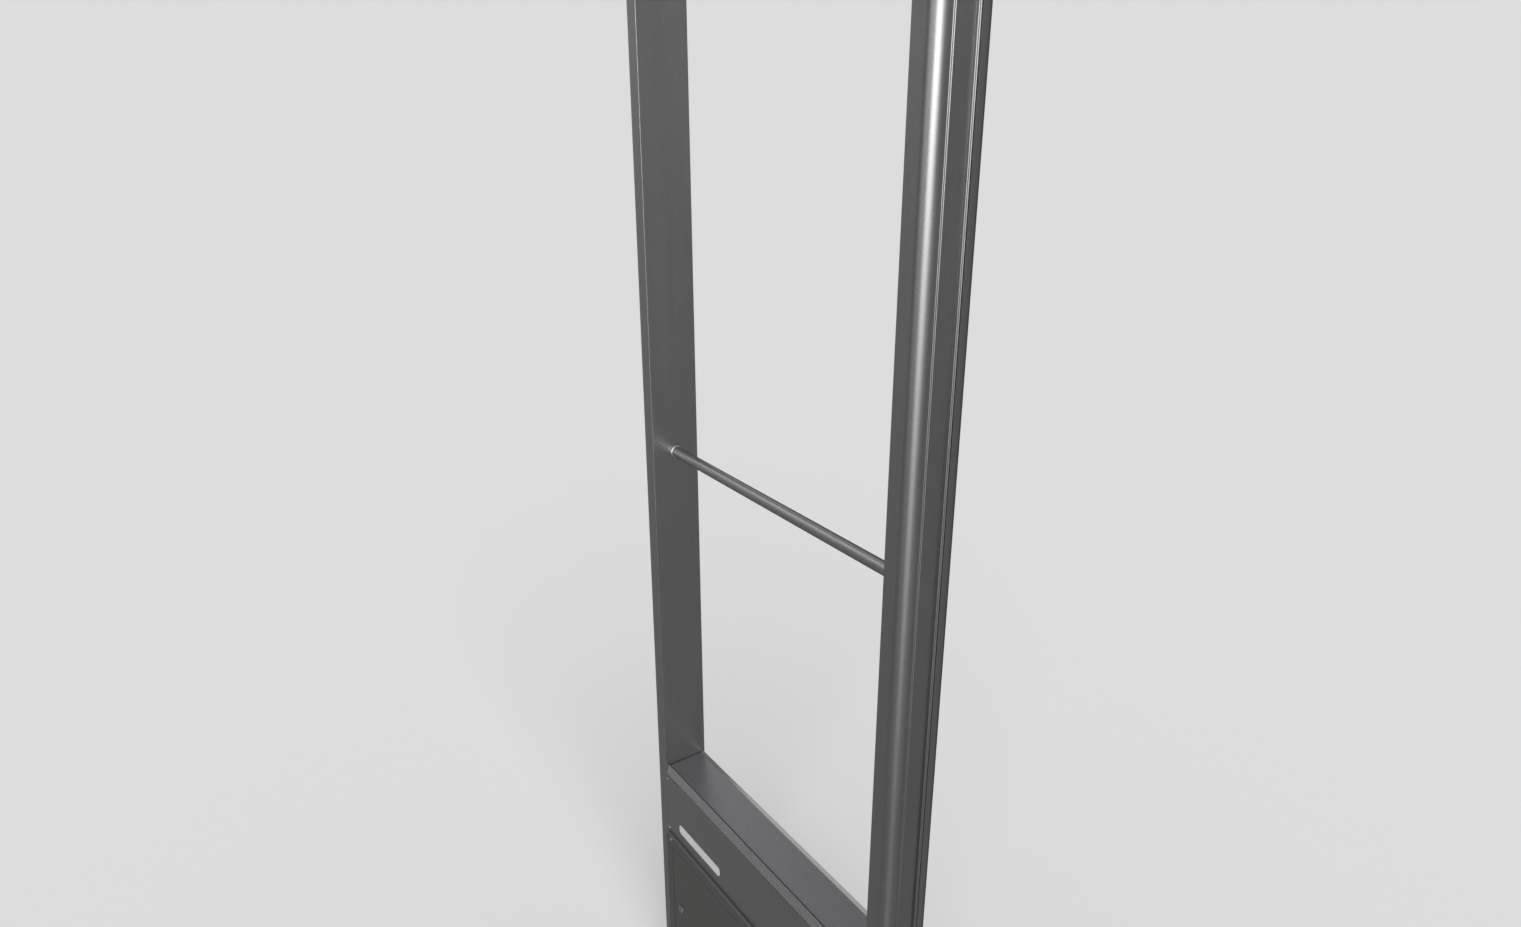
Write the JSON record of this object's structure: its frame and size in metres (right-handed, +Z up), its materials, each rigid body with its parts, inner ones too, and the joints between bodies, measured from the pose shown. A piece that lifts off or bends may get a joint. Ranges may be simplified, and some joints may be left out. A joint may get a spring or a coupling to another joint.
{
  "type": "anti-theft antenna pedestal",
  "caption": "Free-standing anti-theft antenna pedestal: two grooved aluminium posts, a thin crossover tube, a rounded top and an electronics base with lift-off service covers.",
  "frame": {"origin": "on the floor, in the middle of the foot plate's underside", "axes": "+Z up, +X to the right across the opening as seen from the front, -Y out of the front face with the inlay"},
  "size_m": [0.42, 0.11, 1.423],
  "materials": {
    "anodised": "dark grey anodised aluminium, satin, fine vertical brushing",
    "brushed": "brushed dark anodised aluminium with a coarse grain",
    "steel": "zinc-plated steel, satin",
    "coated_dark": "dark grey fine-texture powder coat, matt",
    "coated_foot": "near-black powder coat, matt",
    "moulded_dark": "moulded dark grey plastic, fine spark texture",
    "pale_inlay": "pale grey satin inlay",
    "lens_red": "translucent red lens, gloss",
    "board_green": "green solder mask",
    "plated": "bright plated metal, satin",
    "terminal_green": "green moulded plastic",
    "rubber_black": "black rubber, matt",
    "cable_grey": "grey cable sheath, matt",
    "rocker_black": "black moulded plastic, semi-gloss",
    "knob_white": "off-white moulded plastic, satin"
  },
  "bodies": {
    "frame": {"alarm_lamp_board": "board_green", "alarm_lens": "lens_red", "antenna_cable": "cable_grey", "base_cap": "brushed", "bracket_left": "steel", "bracket_right": "steel", "chassis_plate": "steel", "control_board": "board_green", "corner_left": "moulded_dark", "corner_right": "moulded_dark", "crossover_tube": "brushed", "fascia_inlay": "pale_inlay", "floor_grommet": "rubber_black", "foot_plate": "coated_foot", "front_fascia": "anodised", "front_fascia_screw_lower_left": "plated", "front_fascia_screw_lower_right": "plated", "front_fascia_screw_upper_left": "plated", "front_fascia_screw_upper_right": "plated", "front_surround": "coated_dark", "front_surround_screw_left": "plated", "front_surround_screw_right": "plated", "lamp_lead": "cable_grey", "mains_lead": "rubber_black", "post_foot_left": "steel", "post_foot_right": "steel", "post_left": "anodised", "post_right": "anodised", "post_strip_left": "brushed", "post_strip_right": "brushed", "power_cable": "rubber_black", "power_supply": "plated", "power_switch": "rocker_black", "rear_fascia": "anodised", "rear_fascia_screw_lower_left": "plated", "rear_fascia_screw_lower_right": "plated", "rear_fascia_screw_upper_left": "plated", "rear_fascia_screw_upper_right": "plated", "rear_surround": "coated_dark", "rear_surround_screw_left": "plated", "rear_surround_screw_right": "plated", "sounder": "rubber_black", "supply_lead": "cable_grey", "tamper_switch": "moulded_dark", "terminal_block": "terminal_green", "top_rail": "anodised", "top_strip_left": "brushed", "top_strip_right": "brushed", "tube_ferrule_left": "steel", "tube_ferrule_right": "steel"},
    "front_cover": {"front_cover": "coated_dark"},
    "rear_cover": {"rear_cover": "coated_dark"},
    "front_latch_left": {"front_latch_left": "plated"},
    "front_latch_right": {"front_latch_right": "plated"},
    "rear_latch_left": {"rear_latch_left": "plated"},
    "rear_latch_right": {"rear_latch_right": "plated"},
    "switch_rocker": {"switch_rocker": "rocker_black"},
    "sensitivity_knob": {"sensitivity_knob": "knob_white"},
    "volume_knob": {"volume_knob": "knob_white"},
    "tamper_plunger": {"tamper_plunger": "knob_white"}
  },
  "joints": [
    {"name": "front_cover_lift", "type": "slide", "parent": "frame", "child": "front_cover", "axis": [0, -1, 0], "range_m": [0, 0.15]},
    {"name": "front_latch_left_turn", "type": "hinge", "parent": "front_cover", "child": "front_latch_left", "pos_m": [-0.139, -0.0276, 0.171], "axis": [0, 1, 0], "range_deg": [0, 90]},
    {"name": "front_latch_right_turn", "type": "hinge", "parent": "front_cover", "child": "front_latch_right", "pos_m": [0.139, -0.0276, 0.171], "axis": [0, 1, 0], "range_deg": [0, 90]},
    {"name": "rear_cover_lift", "type": "slide", "parent": "frame", "child": "rear_cover", "axis": [0, 1, 0], "range_m": [0, 0.15]},
    {"name": "rear_latch_left_turn", "type": "hinge", "parent": "rear_cover", "child": "rear_latch_left", "pos_m": [-0.139, 0.0276, 0.171], "axis": [0, -1, 0], "range_deg": [0, 90]},
    {"name": "rear_latch_right_turn", "type": "hinge", "parent": "rear_cover", "child": "rear_latch_right", "pos_m": [0.139, 0.0276, 0.171], "axis": [0, -1, 0], "range_deg": [0, 90]},
    {"name": "switch_rocker_tilt", "type": "hinge", "parent": "frame", "child": "switch_rocker", "pos_m": [0.11, -0.011, 0.199], "axis": [1, 0, 0], "range_deg": [-24, 0]},
    {"name": "sensitivity_turn", "type": "hinge", "parent": "frame", "child": "sensitivity_knob", "pos_m": [-0.045, -0.0113, 0.13], "axis": [0, 1, 0], "range_deg": [-150, 150]},
    {"name": "volume_turn", "type": "hinge", "parent": "frame", "child": "volume_knob", "pos_m": [-0.015, -0.0113, 0.13], "axis": [0, 1, 0], "range_deg": [-150, 150]},
    {"name": "tamper_plunger_travel", "type": "slide", "parent": "frame", "child": "tamper_plunger", "axis": [0, -1, 0], "range_m": [0, 0.0025]}
  ],
  "couplings": [
    {"joint": "tamper_plunger_travel", "follows": "front_cover_lift", "ratio": 0.0166}
  ]
}
